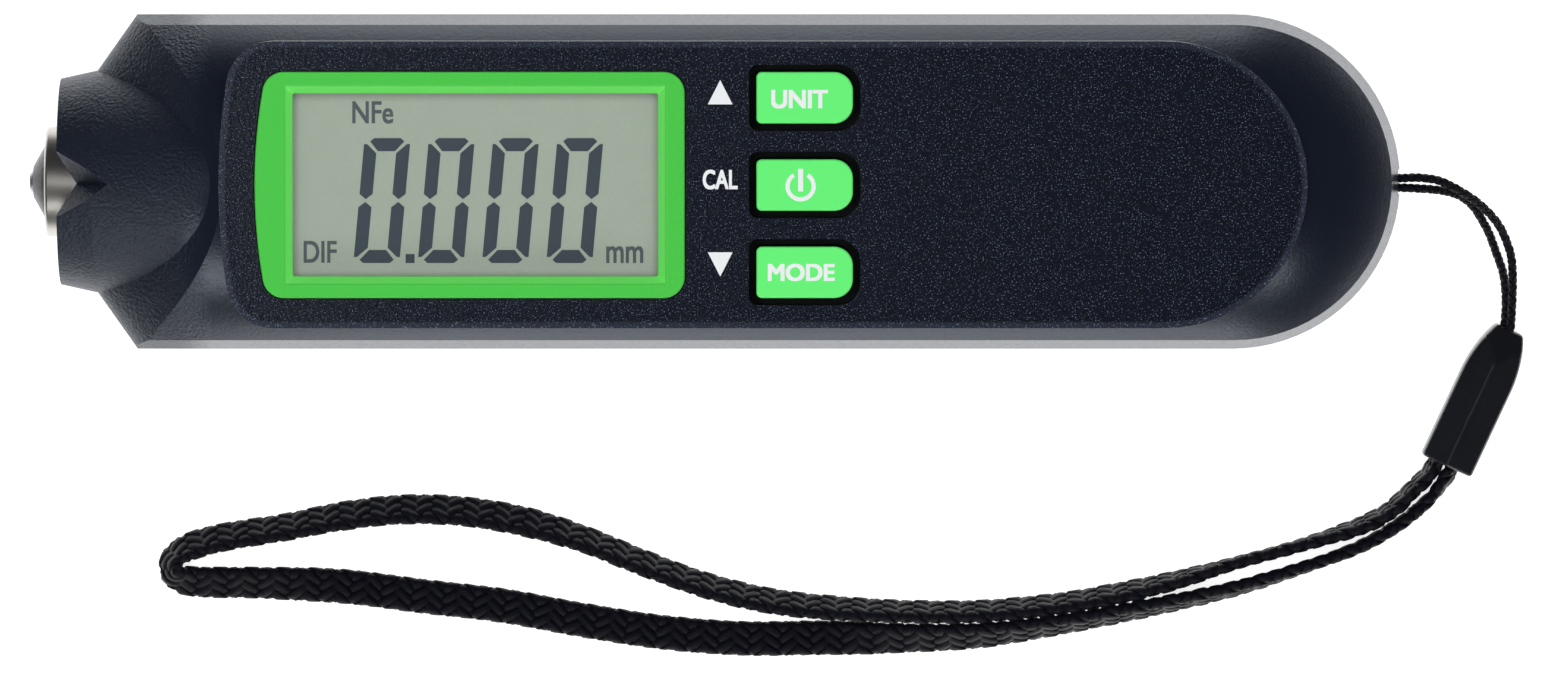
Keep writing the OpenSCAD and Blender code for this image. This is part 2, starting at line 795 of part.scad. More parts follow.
module switch_bases() {
    for (row = KEY_ROWS) {
        color(BLACK) translate([key_x, row * key_pitch, board_top]) difference() {
            linear_extrude(switch_height) square(switch_side, center = true);
            translate([0, 0, stem_foot]) cylinder(h = switch_height, r = stem_radius + fit_gap);
        }
    }
}

// Screw that points up, with its head's underside at the given height
module screw(seat, shank_length, core_length) {
    translate([0, 0, seat]) {
        difference() {
            translate([0, 0, -screw_head_height]) cylinder(h = screw_head_height, r = screw_head);
            for (turn = [0, 90]) {
                rotate(turn) translate([0, 0, -screw_head_height])
                    cube([0.5, screw_head * 1.3, screw_head_height], center = true);
            }
        }
        cylinder(h = shank_length, r = screw_shank);
        cylinder(h = shank_length + core_length, r = screw_core);
    }
}

module board_screws() {
    head = 1.5;
    for (side = [-1, 1]) {
        color(STEEL) translate([board_screw_x, side * board_screw_y, board_bottom]) {
            translate([0, 0, -board_head_height]) cylinder(h = board_head_height, r = head);
            cylinder(h = board_thickness + screw_core_length - 0.5, r = screw_core - 0.02);
        }
    }
}

module case_screws() {
    for (side = [-1, 1]) {
        color(STEEL) translate([front_screw[0], side * front_screw[1], 0])
            screw(front_seat, axis_height - front_seat, screw_core_length);
        color(STEEL) translate([tail_screw[0], side * tail_screw[1], 0])
            screw(tail_seat, axis_height - tail_seat, screw_core_length);
    }
}

// Keys

module key_cap(row) {
    top = panel_height + key_proud;
    color(KEY_GREEN) translate([key_x, row * key_pitch, 0]) {
        translate([0, 0, flange_top - key_flange]) linear_extrude(top - flange_top + key_flange)
            key_outline();
        translate([0, 0, flange_top - key_flange]) linear_extrude(key_flange)
            key_outline(key_gap + key_flange_rim);
        translate([0, 0, stem_top]) cylinder(h = flange_top - stem_top, r = stem_radius + 0.3);
    }
}

module unit_button() {
    key_cap(KEY_ROWS[0]);
}

module power_button() {
    key_cap(KEY_ROWS[1]);
}

module mode_button() {
    key_cap(KEY_ROWS[2]);
}

module switch_stem(row) {
    bottom = board_top + stem_foot + key_travel + fit_gap;
    color(GREY_PLASTIC) translate([key_x, row * key_pitch, bottom])
        cylinder(h = stem_top - bottom, r = stem_radius);
}

module unit_stem() {
    switch_stem(KEY_ROWS[0]);
}

module power_stem() {
    switch_stem(KEY_ROWS[1]);
}

module mode_stem() {
    switch_stem(KEY_ROWS[2]);
}

// Probe

module probe_guide() {
    bore = sleeve_radius + probe_clearance;
    stop = sleeve_depth - flange_thickness - fit_gap;
    color(BRASS) on_axis([
        [bore, guide_depth], [guide_radius, guide_depth], [guide_radius, guide_back],
        [chamber_radius, guide_back], [chamber_radius, stop], [bore, stop]
    ]);
}

module probe_cap() {
    hole = lead_radius + 0.2;
    color(BLACK) on_axis([
        [hole, cap_front], [chamber_radius - 0.02, cap_front],
        [chamber_radius - 0.02, guide_back], [hole, guide_back]
    ]);
}

module probe_sleeve() {
    chamfer = 0.2;
    flange_front = sleeve_depth - flange_thickness;
    color(NICKEL) on_axis([
        [sleeve_bore, -sleeve_reach], [sleeve_radius - 2 * chamfer, -sleeve_reach],
        [sleeve_radius, chamfer - sleeve_reach], [sleeve_radius, flange_front],
        [flange_radius, flange_front], [flange_radius, sleeve_depth], [sleeve_bore, sleeve_depth]
    ]);
}

module probe_core() {
    front = tip_step - probe_reach;
    color(GREY_PLASTIC) on_axis([
        [tip_radius, front], [core_front_radius, front], [core_radius, -sleeve_reach],
        [core_radius, core_shoulder], [core_neck, core_shoulder], [core_neck, core_flange_front],
        [core_radius, core_flange_front], [core_radius, core_back], [0, core_back],
        [0, tip_root], [tip_radius, tip_root]
    ]);
}

module probe_tip() {
    rounding = 0.25;
    color(STEEL) on_axis([
        [0, -probe_reach], [tip_radius - rounding, -probe_reach], [tip_radius, rounding - probe_reach],
        [tip_radius, tip_root], [0, tip_root]
    ]);
}

module probe_coil() {
    color([0.72, 0.43, 0.20]) on_axis([
        [core_neck + 0.03, core_shoulder + fit_gap], [core_radius - 0.4, core_shoulder + fit_gap],
        [core_radius - 0.4, core_flange_front - fit_gap], [core_neck + 0.03, core_flange_front - fit_gap]
    ]);
}

module probe_spring() {
    mean_radius = chamber_radius - spring_wire - 0.5;
    color(STEEL) translate([nose_x + sleeve_depth, 0, axis_height]) rotate([0, 90, 0])
        coil_spring(mean_radius, mean_radius, spring_wire, cap_front - sleeve_depth, spring_turns);
}

// Pair of wires from the cap to the socket under the board
module probe_lead() {
    start = nose_x + cap_front;
    rings = 9;
    rise = board_bottom - socket_size[2] / 2 - axis_height;
    bend = function(t) t * t * (3 - 2 * t);
    lead_in = 0.25;
    lead_out = 0.125;
    route = [for (i = [0 : rings - 1])
        let (t = i / (rings - 1), s = min(1, max(0, (t - lead_in) / (1 - lead_in - lead_out))))
        [start + (socket_front - start) * t, 0, axis_height + rise * bend(s)]];
    sizes = [for (i = [0 : rings - 1]) 2 * lead_radius];
    color([0.65, 0.12, 0.10]) ring_tube(route, sizes, sizes);
}

module lead_socket() {
    color([0.92, 0.90, 0.84])
        translate([socket_front, -socket_size[1] / 2, board_bottom - socket_size[2]]) cube(socket_size);
}

// Power

// Cell along +X from its flat end at the origin
module cell() {
    nub = 1;
    color([0.20, 0.28, 0.42]) rotate([0, 90, 0]) {
        cylinder(h = cell_length - nub, r = cell_diameter / 2);
        cylinder(h = cell_length, r = 1.9);
    }
}

module cell_left() {
    translate([bay_front + contact_thickness + cell_spring, cell_offset, cell_middle]) cell();
}

module cell_right() {
    translate([bay_front + contact_thickness + cell_length, -cell_offset, cell_middle])
        rotate([0, 0, 180]) cell();
}

module battery_contacts() {
    plate = [contact_thickness, cell_diameter - 2.3, cell_diameter - 1.9];
    bridge = [contact_thickness, 2 * cell_offset + plate[1], plate[2]];
    color(NICKEL) translate([bay_front, 0, cell_middle]) translate([bridge[0] / 2, 0, 0])
        cube(bridge, center = true);
    for (side = [-1, 1]) {
        color(NICKEL) translate([bay_back - plate[0] / 2, side * cell_offset, cell_middle])
            cube(plate, center = true);
    }
}

module battery_springs() {
    wire = 0.25;
    wide = 3.2;
    narrow = 1.8;
    turns = 3;
    color(STEEL) translate([bay_front + contact_thickness, cell_offset, cell_middle]) rotate([0, 90, 0])
        coil_spring(wide, narrow, wire, cell_spring, turns);
    color(STEEL) translate([bay_back - contact_thickness, -cell_offset, cell_middle]) rotate([0, -90, 0])
        coil_spring(wide, narrow, wire, cell_spring, turns);
}

// Strap

module thin_loop() {
    sizes = [for (p = THIN_ROUTE) thin_cord];
    color(BLACK) translate([tail_x, 0, 0]) ring_tube(THIN_ROUTE, sizes, sizes);
}

// Ridged sleeve that joins the two loops, tapering and hipped towards the thin one
module strap_joiner() {
    half = joiner_width / 2;
    mouth = joiner_mouth / 2;
    shoulder = 0.62 * joiner_length;
    taper_radius = (pow(joiner_length - shoulder, 2) + pow(half - mouth, 2)) / (2 * (half - mouth));
    cheek = 0.72 * joiner_height;
    chamfer = 0.8;
    place = [tail_x + joiner_start[0], joiner_start[1], 0];
    color(BLACK) translate(place) rotate(joiner_heading) intersection() {
        linear_extrude(joiner_height) {
            translate([0, -half]) square([shoulder, joiner_width]);
            intersection() {
                translate([shoulder, 0]) square([joiner_length - shoulder, joiner_width]);
                translate([shoulder, half - taper_radius]) circle(taper_radius);
            }
            intersection() {
                translate([shoulder, -joiner_width]) square([joiner_length - shoulder, joiner_width]);
                translate([shoulder, taper_radius - half]) circle(taper_radius);
            }
        }
        rotate([90, 0, 90]) linear_extrude(joiner_length) polygon([
            [chamfer - half, 0], [half - chamfer, 0], [half, chamfer], [half, cheek], [0, joiner_height],
            [-half, cheek], [-half, chamfer]
        ]);
        rotate([90, 0, 0]) translate([0, 0, -joiner_width]) linear_extrude(2 * joiner_width) polygon([
            [0, 0], [joiner_length, 0], [joiner_length, joiner_end_height],
            [joiner_length - joiner_hip, joiner_height], [0, joiner_height]
        ]);
    }
}

module wrist_loop() {
    spread = pow(braid_width, 2) + pow(braid_thickness, 2);
    widths = [for (p = WRIST_ROUTE) min(p[2], braid_width)];
    heights = [for (w = widths) sqrt(spread - w * w)];
    at = [for (i = [0 : len(widths) - 1])
        [WRIST_ROUTE[i][0], WRIST_ROUTE[i][1], heights[i] / 2 + floor_gap]];
    color(BLACK) translate([tail_x, 0, 0]) ring_tube(at, widths, heights);
}

upper_shell();
lower_shell();
battery_cover();
display_bezel();
display_window();
lcd_panel();
zebra_strips();
main_board();
controller_chip();
switch_bases();
board_screws();
case_screws();
unit_button();
power_button();
mode_button();
unit_stem();
power_stem();
mode_stem();
probe_guide();
probe_cap();
probe_sleeve();
probe_core();
probe_tip();
probe_coil();
probe_spring();
probe_lead();
lead_socket();
cell_left();
cell_right();
battery_contacts();
battery_springs();
thin_loop();
strap_joiner();
wrist_loop();
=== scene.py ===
"""Dresses the coating thickness gauge: camera, finishes, studio, strap, probe spring, display and marks."""
import json
import math

import bpy
import numpy as np
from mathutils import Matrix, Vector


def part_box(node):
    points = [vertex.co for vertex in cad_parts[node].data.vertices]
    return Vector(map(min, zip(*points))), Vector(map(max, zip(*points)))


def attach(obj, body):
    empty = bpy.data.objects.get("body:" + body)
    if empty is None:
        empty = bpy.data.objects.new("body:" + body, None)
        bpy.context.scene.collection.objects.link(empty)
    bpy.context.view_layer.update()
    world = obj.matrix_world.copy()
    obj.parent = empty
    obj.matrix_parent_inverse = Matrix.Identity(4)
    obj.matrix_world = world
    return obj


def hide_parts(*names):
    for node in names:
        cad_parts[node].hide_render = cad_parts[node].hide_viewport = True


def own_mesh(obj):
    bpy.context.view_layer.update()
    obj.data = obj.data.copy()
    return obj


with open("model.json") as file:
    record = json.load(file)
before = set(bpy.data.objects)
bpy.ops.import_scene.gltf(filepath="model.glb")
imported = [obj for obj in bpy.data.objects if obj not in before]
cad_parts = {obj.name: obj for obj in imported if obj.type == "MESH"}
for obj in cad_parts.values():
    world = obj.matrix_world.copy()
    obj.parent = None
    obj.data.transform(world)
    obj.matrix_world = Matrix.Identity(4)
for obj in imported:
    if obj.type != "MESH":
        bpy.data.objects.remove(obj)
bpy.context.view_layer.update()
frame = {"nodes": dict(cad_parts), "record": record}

NODES = frame["nodes"]
MM = 0.001


def add_object(name, data):
    """New object in the scene."""
    item = bpy.data.objects.new(name, data)
    bpy.context.scene.collection.objects.link(item)
    return item


def top_middle(node):
    """Middle of the top of a solid's box."""
    low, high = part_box(node)
    return (low.x + high.x) / 2, (low.y + high.y) / 2, high.z


# Camera

VIEW_WIDTH = 139.3 * MM
VIEW_MIDDLE = (5.5 * MM, -13.95 * MM, 11 * MM)
CAMERA_DISTANCE = 1.2
CAMERA_TILT = math.radians(2.2)
CAMERA_NEAR = 0.05
SENSOR_WIDTH = 36.0


def add_camera():
    """Long lens that looks down on the gauge, leaning a little from the +Y side."""
    data = bpy.data.cameras.new("camera")
    data.sensor_fit = "HORIZONTAL"
    data.sensor_width = SENSOR_WIDTH
    data.lens = SENSOR_WIDTH * CAMERA_DISTANCE / VIEW_WIDTH
    data.clip_start = CAMERA_NEAR
    camera = add_object("camera", data)
    x, y, z = VIEW_MIDDLE
    camera.location = (
        x,
        y + CAMERA_DISTANCE * math.sin(CAMERA_TILT),
        z + CAMERA_DISTANCE * math.cos(CAMERA_TILT),
    )
    camera.rotation_euler = (-CAMERA_TILT, 0, 0)
    bpy.context.scene.camera = camera


# Tools for finishes

WHITE = (1.0, 1.0, 1.0, 1.0)
NOISE_SPAN = (0.3, 0.7)


def srgb(red, green, blue):
    """Linear colour of an sRGB colour given in 0 to 255."""
    def linear(value):
        value /= 255
        return value / 12.92 if value <= 0.04045 else ((value + 0.055) / 1.055) ** 2.4
    return (linear(red), linear(green), linear(blue), 1.0)


def times(colour, share):
    """A colour made darker or lighter by a share."""
    red, green, blue, alpha = colour
    return (red * share, green * share, blue * share, alpha)


class Finish:
    """A material with a Principled shader, and short ways to add texture nodes to it."""

    def __init__(self, name, **sockets):
        self.material = bpy.data.materials.new(name)
        self.material.use_nodes = True
        self.nodes = self.material.node_tree.nodes
        self.links = self.material.node_tree.links
        self.shader = self.nodes["Principled BSDF"]
        for socket, value in sockets.items():
            self.shader.inputs[socket.replace("_", " ")].default_value = value
        self.place = self.add("TexCoord").outputs["Object"]

    def feed(self, socket, value):
        """Links a socket to another node's output, or sets it to a value."""
        if isinstance(value, bpy.types.NodeSocket):
            self.links.new(value, socket)
        else:
            socket.default_value = value

    def add(self, kind, inputs=None, **settings):
        """New node with its inputs and settings."""
        node = self.nodes.new("ShaderNode" + kind)
        for key, value in settings.items():
            setattr(node, key, value)
        for key, value in (inputs or {}).items():
            self.feed(node.inputs[key], value)
        return node

    def set(self, socket, output):
        """Links a socket of the shader."""
        self.links.new(output, self.shader.inputs[socket])

    def axes(self):
        """X, Y and Z of a point of the object."""
        return self.add("SeparateXYZ", {"Vector": self.place}).outputs

    def stretched(self, place, scale):
        """Texture places with each axis scaled."""
        return self.add("Mapping", {"Vector": place, "Scale": scale}).outputs["Vector"]

    def noise(self, size, detail=2.0, roughness=0.5, place=None):
        """Cloudy grey pattern whose blobs are about size metres."""
        inputs = {"Vector": place or self.place, "Scale": 1 / size, "Detail": detail, "Roughness": roughness}
        return self.add("TexNoise", inputs).outputs["Fac"]

    def cells(self, size):
        """Distance to the nearest of points that lie about size metres apart."""
        inputs = {"Vector": self.place, "Scale": 1 / size}
        return self.add("TexVoronoi", inputs).outputs["Distance"]

    def between(self, value, low, high, to_low=0.0, to_high=1.0):
        """Value mapped from low and high to two others, and held there beyond them."""
        inputs = {"Value": value, "From Min": low, "From Max": high, "To Min": to_low, "To Max": to_high}
        return self.add("MapRange", inputs, clamp=True).outputs["Result"]

    def follow(self, noise, low, high):
        """Value between low and high that follows a noise."""
        return self.between(noise, *NOISE_SPAN, low, high)

    def math(self, operation, a, b=0.0):
        """Result of a Math node."""
        return self.add("Math", {0: a, 1: b}, operation=operation).outputs[0]

    def blend_values(self, factor, a, b):
        """Value a where the factor is 0, b where it is 1."""
        return self.add("Mix", {0: factor, 2: a, 3: b}).outputs[0]

    def blend_colours(self, factor, a, b):
        """Colour a where the factor is 0, b where it is 1."""
        node = self.add("Mix", {0: factor}, data_type="RGBA")
        colours = [socket for socket in node.inputs if socket.type == "RGBA"]
        for socket, value in zip(colours, (a, b)):
            self.feed(socket, value)
        return next(socket for socket in node.outputs if socket.type == "RGBA")

    def clouded(self, colour, size, variation):
        """A colour that is a little darker or lighter in clouds of about size metres."""
        cloud = self.noise(size, detail=4)
        return self.blend_colours(cloud, times(colour, 1 - variation), times(colour, 1 + variation))

    def bump(self, height, depth, normal=None):
        """Normal of a relief that is depth metres high."""
        inputs = {"Height": height, "Distance": depth, "Strength": 1.0}
        if normal:
            inputs["Normal"] = normal
        return self.add("Bump", inputs).outputs["Normal"]


# Finish of the housing

BODY_COLOUR = srgb(14, 20, 36)
PANEL_COLOUR = srgb(6, 10, 24)
# Painted highlight: paler colour on the step wall round the panel, standing for light caught by the rim's
# edge
PAINTED_RIM_HIGHLIGHT = srgb(36, 41, 55)
# Painted glints: pale flecks on the panel stand for light caught by its grain
PAINTED_GLINT_COLOUR = srgb(92, 101, 124)
BODY_TINT = (0.82, 0.9, 1.0, 1.0)
BODY_IOR = 1.9
BODY_CLOUD = 5 * MM
BODY_VARIATION = 0.15

PANEL_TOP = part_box("upper_shell")[1].z
PANEL_FOOT = (PANEL_TOP - 0.7 * MM, PANEL_TOP - 0.6 * MM)
RIM_HIGHLIGHT_END = (PANEL_TOP - 0.4 * MM, PANEL_TOP - 0.2 * MM)
NOSE_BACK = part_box("upper_shell")[0].x + 13.6 * MM
NOSE_FADE = 3 * MM

LEATHER_SIZE = 0.3 * MM
LEATHER_DEPTH = 0.05 * MM
LEATHER_SIDES = 0.4
LEATHER_NOSE = 3.6
SIDE_ROUGHNESS = (0.28, 0.36)
NOSE_ROUGHER = 0.16

GRAIN_SIZE = 0.24 * MM
GRAIN_DEPTH = 0.02 * MM
PANEL_ROUGHNESS = (0.2, 0.28)
GLINT_SIZE = 0.13 * MM
GLINT_SPAN = (0.68, 0.78)


def body_finish():
    """Dark plastic: a leather grain, deeper on the nose, and a panel with a painted highlight along its rim
    and painted glints.
    """
    f = Finish("body", IOR=BODY_IOR, Specular_Tint=BODY_TINT)
    place = f.axes()
    on_panel = f.between(place["Z"], *PANEL_FOOT)
    on_top = f.between(place["Z"], *RIM_HIGHLIGHT_END)
    on_nose = f.between(place["X"], NOSE_BACK, NOSE_BACK - NOSE_FADE)
    grain = f.noise(GRAIN_SIZE, detail=4, roughness=0.7)
    leather = f.noise(LEATHER_SIZE)

    sides = f.clouded(BODY_COLOUR, BODY_CLOUD, BODY_VARIATION)
    # Painted highlight: the panel's step wall below the rim end takes the paler rim colour
    panel = f.blend_colours(on_top, PAINTED_RIM_HIGHLIGHT, PANEL_COLOUR)
    # Painted glints: pale flecks scattered over the panel's base colour
    glints = f.between(f.noise(GLINT_SIZE, detail=0), *GLINT_SPAN)
    sparkle = f.math("MULTIPLY", glints, on_panel)
    f.set("Base Color", f.blend_colours(sparkle, f.blend_colours(on_panel, sides, panel), PAINTED_GLINT_COLOUR))

    nose_rougher = f.math("MULTIPLY", on_nose, NOSE_ROUGHER)
    side_roughness = f.math("ADD", f.follow(leather, *SIDE_ROUGHNESS), nose_rougher)
    f.set("Roughness", f.blend_values(on_panel, side_roughness, f.follow(grain, *PANEL_ROUGHNESS)))

    leather_height = f.between(on_nose, 0.0, 1.0, LEATHER_SIDES, LEATHER_NOSE)
    side_bump = f.bump(f.math("MULTIPLY", leather, leather_height), LEATHER_DEPTH)
    f.set("Normal", f.bump(f.math("MULTIPLY", grain, on_panel), GRAIN_DEPTH, normal=side_bump))
    return f.material


# Finishes of the display's frame and the keys

BEZEL_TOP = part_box("display_bezel")[1].z
BEZEL_BEVEL_END = (BEZEL_TOP - 0.13 * MM, BEZEL_TOP - 0.03 * MM)
# Painted highlight: paler green down the bezel's inner bevel
BEZEL_BEVEL_HIGHLIGHT = srgb(116, 246, 108)
BEZEL_FACE = (srgb(69, 201, 67), srgb(76, 210, 74))
KEY_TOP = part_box("power_button")[1].z
KEY_SKIRT_END = (KEY_TOP - 0.26 * MM, KEY_TOP - 0.1 * MM)
# Painted shade: dark skirt below the key face stands for the shadow in the gap round a key
KEY_GAP_SHADE = srgb(8, 14, 12)
KEY_FACE = (srgb(104, 254, 121), srgb(110, 255, 129))


def faced(name, change, below, face, grain, roughness, depth):
    """Plastic with one colour below a change of height, and a grained face of two colours above it."""
    f = Finish(name)
    on_face = f.between(f.axes()["Z"], *change)
    grains = f.noise(grain, detail=3, roughness=0.6)
    f.set("Base Color", f.blend_colours(on_face, below, f.blend_colours(grains, *face)))
    f.set("Roughness", f.follow(grains, *roughness))
    f.set("Normal", f.bump(grains, depth))
    return f.material


def bezel_finish():
    """Green plastic with a painted highlight down the bevel round the window."""
    return faced(
        "green_plastic", BEZEL_BEVEL_END, BEZEL_BEVEL_HIGHLIGHT, BEZEL_FACE,
        grain=0.3 * MM, roughness=(0.32, 0.4), depth=0.006 * MM,
    )


def key_finish():
    """Bright green plastic with painted shade on the skirt below the face, so that the gap round a key stays
    dark.
    """
    return faced(
        "key_plastic", KEY_SKIRT_END, KEY_GAP_SHADE, KEY_FACE,
        grain=0.25 * MM, roughness=(0.4, 0.5), depth=0.008 * MM,
    )


# Other finishes

CLOUD_SIZE = 6 * MM
MOULDED_SPREAD = 0.05

METAL_MARKS = 0.05 * MM
METAL_RELIEF = 0.003 * MM
METAL_SPREAD = 0.06
METAL_SHADES = (0.9, 1.05)

CORD_COLOURS = (srgb(4, 4, 9), srgb(15, 16, 26))
CORD_ROUGHNESS = (0.45, 0.62)
FIBRE_SIZE = 1.2 * MM
FIBRE_STRETCH = (1.0, 14.0, 1.0)
FIBRE_DEPTH = 0.05 * MM

WINDOW_COLOUR = srgb(235, 240, 236)
WINDOW_ROUGHNESS = (0.03, 0.07)
SMEAR_SIZE = 3 * MM

LCD_COLOURS = (srgb(163, 175, 160), srgb(173, 184, 170))
LCD_ROUGHNESS = (0.5, 0.6)
LCD_CLOUD = 2.2 * MM
DUST_COLOUR = srgb(157, 169, 153)
DUST_SIZE = 0.25 * MM
DUST_SPAN = (0.35, 0.65)
DUST_SHARE = 0.35

BOARD_COLOURS = (srgb(20, 92, 52), srgb(34, 122, 72))
BOARD_ROUGHNESS = (0.3, 0.4)
BOARD_GRAIN = 0.6 * MM
TRACE_PITCH = 1.6 * MM
TRACE_EDGE = (0.32, 0.36)
TRACE_HEIGHT = 0.02 * MM


def moulded(name, colour, roughness, grain, depth, variation=0.15, **sockets):
    """Moulded plastic: a fine grain, a slight cloud in its colour and an uneven gloss."""
    f = Finish(name, **sockets)
    f.set("Base Color", f.clouded(colour, CLOUD_SIZE, variation))
    grains = f.noise(grain, detail=3, roughness=0.6)
    f.set("Roughness", f.follow(grains, roughness - MOULDED_SPREAD, roughness + MOULDED_SPREAD))
    f.set("Normal", f.bump(grains, depth))
    return f.material


def metal(name, colour, roughness, stretch):
    """Bare metal with fine turning or drawing marks, stretched along an axis."""
    f = Finish(name, Metallic=1.0)
    marks = f.noise(METAL_MARKS, detail=3, place=f.stretched(f.place, stretch))
    f.set("Base Color", f.blend_colours(marks, *(times(colour, share) for share in METAL_SHADES)))
    f.set("Roughness", f.follow(marks, roughness - METAL_SPREAD, roughness + METAL_SPREAD))
    f.set("Normal", f.bump(marks, METAL_RELIEF))
    return f.material


def cord_finish():
    """Black braided nylon: fine fibres along each strand, with a soft sheen."""
    f = Finish("cord", Sheen_Weight=0.03, Sheen_Roughness=0.4, Specular_IOR_Level=0.3)
    along = f.add("UVMap").outputs["UV"]
    fibres = f.noise(FIBRE_SIZE, detail=3, place=f.stretched(along, FIBRE_STRETCH))
    f.set("Base Color", f.blend_colours(fibres, *CORD_COLOURS))
    f.set("Roughness", f.follow(fibres, *CORD_ROUGHNESS))
    f.set("Normal", f.bump(fibres, FIBRE_DEPTH))
    return f.material


def window_finish():
    """Clear pane: nearly all of the light goes straight through."""
    f = Finish("clear_window", Base_Color=WINDOW_COLOUR, Alpha=0.02, IOR=1.49)
    f.set("Roughness", f.follow(f.noise(SMEAR_SIZE), *WINDOW_ROUGHNESS))
    return f.material


def lcd_finish():
    """Grey-green reflective display glass with a little dust in its tone."""
    f = Finish("lcd_glass", IOR=1.3)
    cloud = f.noise(LCD_CLOUD, detail=6, roughness=0.6)
    dust = f.noise(DUST_SIZE)
    tone = f.blend_colours(cloud, *LCD_COLOURS)
    dusty = f.between(dust, *DUST_SPAN, 0.0, DUST_SHARE)
    f.set("Base Color", f.blend_colours(dusty, tone, DUST_COLOUR))
    f.set("Roughness", f.follow(dust, *LCD_ROUGHNESS))
    return f.material


def board_finish():
    """Solder mask with paler traces below it."""
    f = Finish("board", IOR=1.5)
    traces = f.between(f.cells(TRACE_PITCH), *TRACE_EDGE)
    f.set("Base Color", f.blend_colours(traces, *BOARD_COLOURS))
    f.set("Roughness", f.follow(f.noise(BOARD_GRAIN), *BOARD_ROUGHNESS))
    f.set("Normal", f.bump(traces, TRACE_HEIGHT))
    return f.material


# Colour, roughness, and size and depth of the grain
MOULDED = {
    "zebra_rubber": (srgb(190, 140, 140), 0.7, 0.3 * MM, 0.02 * MM),
    "black_plastic": (srgb(20, 20, 24), 0.5, 0.2 * MM, 0.01 * MM),
    "stem_plastic": (srgb(90, 92, 96), 0.45, 0.2 * MM, 0.01 * MM),
    "core_plastic": (srgb(48, 47, 54), 0.32, 0.2 * MM, 0.006 * MM),
    "lead_rubber": (srgb(165, 36, 30), 0.55, 0.3 * MM, 0.02 * MM),
    "socket_plastic": (srgb(236, 230, 214), 0.4, 0.3 * MM, 0.01 * MM),
    "cell_can": (srgb(52, 72, 110), 0.35, 0.4 * MM, 0.004 * MM),
}
JOINER_PLASTIC = (srgb(14, 15, 22), 0.33, 0.25 * MM, 0.03 * MM)

# Colour, roughness, and the stretch of the marks along X, Y and Z
METALS = {
    "steel": (srgb(205, 206, 208), 0.42, (1, 1, 6)),
    "nickel": (srgb(196, 193, 188), 0.36, (20, 1, 1)),
    "brass": (srgb(210, 176, 100), 0.25, (20, 1, 1)),
    "copper": (srgb(196, 120, 70), 0.3, (12, 1, 1)),
}

FINISHES = {
    "body_plastic": body_finish(),
    "green_plastic": bezel_finish(),
    "key_plastic": key_finish(),
    "clear_window": window_finish(),
    "lcd_glass": lcd_finish(),
    "board": board_finish(),
    "cord": cord_finish(),
    "joiner_plastic": moulded("joiner_plastic", *JOINER_PLASTIC, variation=0.3, IOR=1.75),
}
FINISHES.update({name: moulded(name, *values) for name, values in MOULDED.items()})
FINISHES.update({name: metal(name, *values) for name, values in METALS.items()})
WHITE_PRINT = moulded("white_print", srgb(248, 250, 252), 0.5, 0.12 * MM, 0.004 * MM, variation=0.02)
SEGMENT_DARK = moulded("segment_dark", srgb(40, 54, 68), 0.5, 0.3 * MM, 0.002 * MM, variation=0.1)
SEGMENT_PALE = moulded("segment_pale", srgb(70, 80, 86), 0.5, 0.3 * MM, 0.002 * MM, variation=0.1)


def dress_nodes():
    """Gives each solid the finish of its material slot."""
    for part in frame["record"]["subparts"]:
        node = NODES[part["node"]]
        node.data.materials.clear()
        node.data.materials.append(FINISHES[part["material_slot"]])


EDGE_ROUNDING = {
    "display_bezel": 0.16 * MM,
    "unit_button": 0.22 * MM,
    "power_button": 0.22 * MM,
    "mode_button": 0.22 * MM,
    "strap_joiner": 0.3 * MM,
    "probe_sleeve": 0.12 * MM,
    "probe_core": 0.1 * MM,
}
WELD_REACH = 0.002 * MM
FLAT_ANGLE = math.radians(0.6)
SHARP_ANGLE = math.radians(25)
ROUNDING_STEPS = 3


def round_edges():
    """Rounds the visible edges of small pieces a little, as a mould or a lathe does."""
    for name, width in EDGE_ROUNDING.items():
        modifiers = NODES[name].modifiers
        weld = modifiers.new("weld", "WELD")
        weld.merge_threshold = WELD_REACH
        flatten = modifiers.new("flatten", "DECIMATE")
        flatten.decimate_type = "DISSOLVE"
        flatten.angle_limit = FLAT_ANGLE
        bevel = modifiers.new("bevel", "BEVEL")
        bevel.width = width
        bevel.segments = ROUNDING_STEPS
        bevel.limit_method = "ANGLE"
        bevel.angle_limit = SHARP_ANGLE
        bevel.harden_normals = True
        bevel.use_clamp_overlap = False


# Studio

FLOOR_SIZE = 3.0
FLOOR_LEVEL = -0.05 * MM
FLOOR_PALE = (0.8, 0.8, 0.8, 1.0)
FLOOR_DIM = (0.05, 0.05, 0.05, 1.0)
FLOOR_GLOW = 0.75
FLOOR_MIRRORED = 1.0
MIRRORED_ACROSS = (0.03, 0.055)
MIRRORED_ALONG = (0.045, 0.065)
MIRRORED_ENDS = (0.078, 0.1)


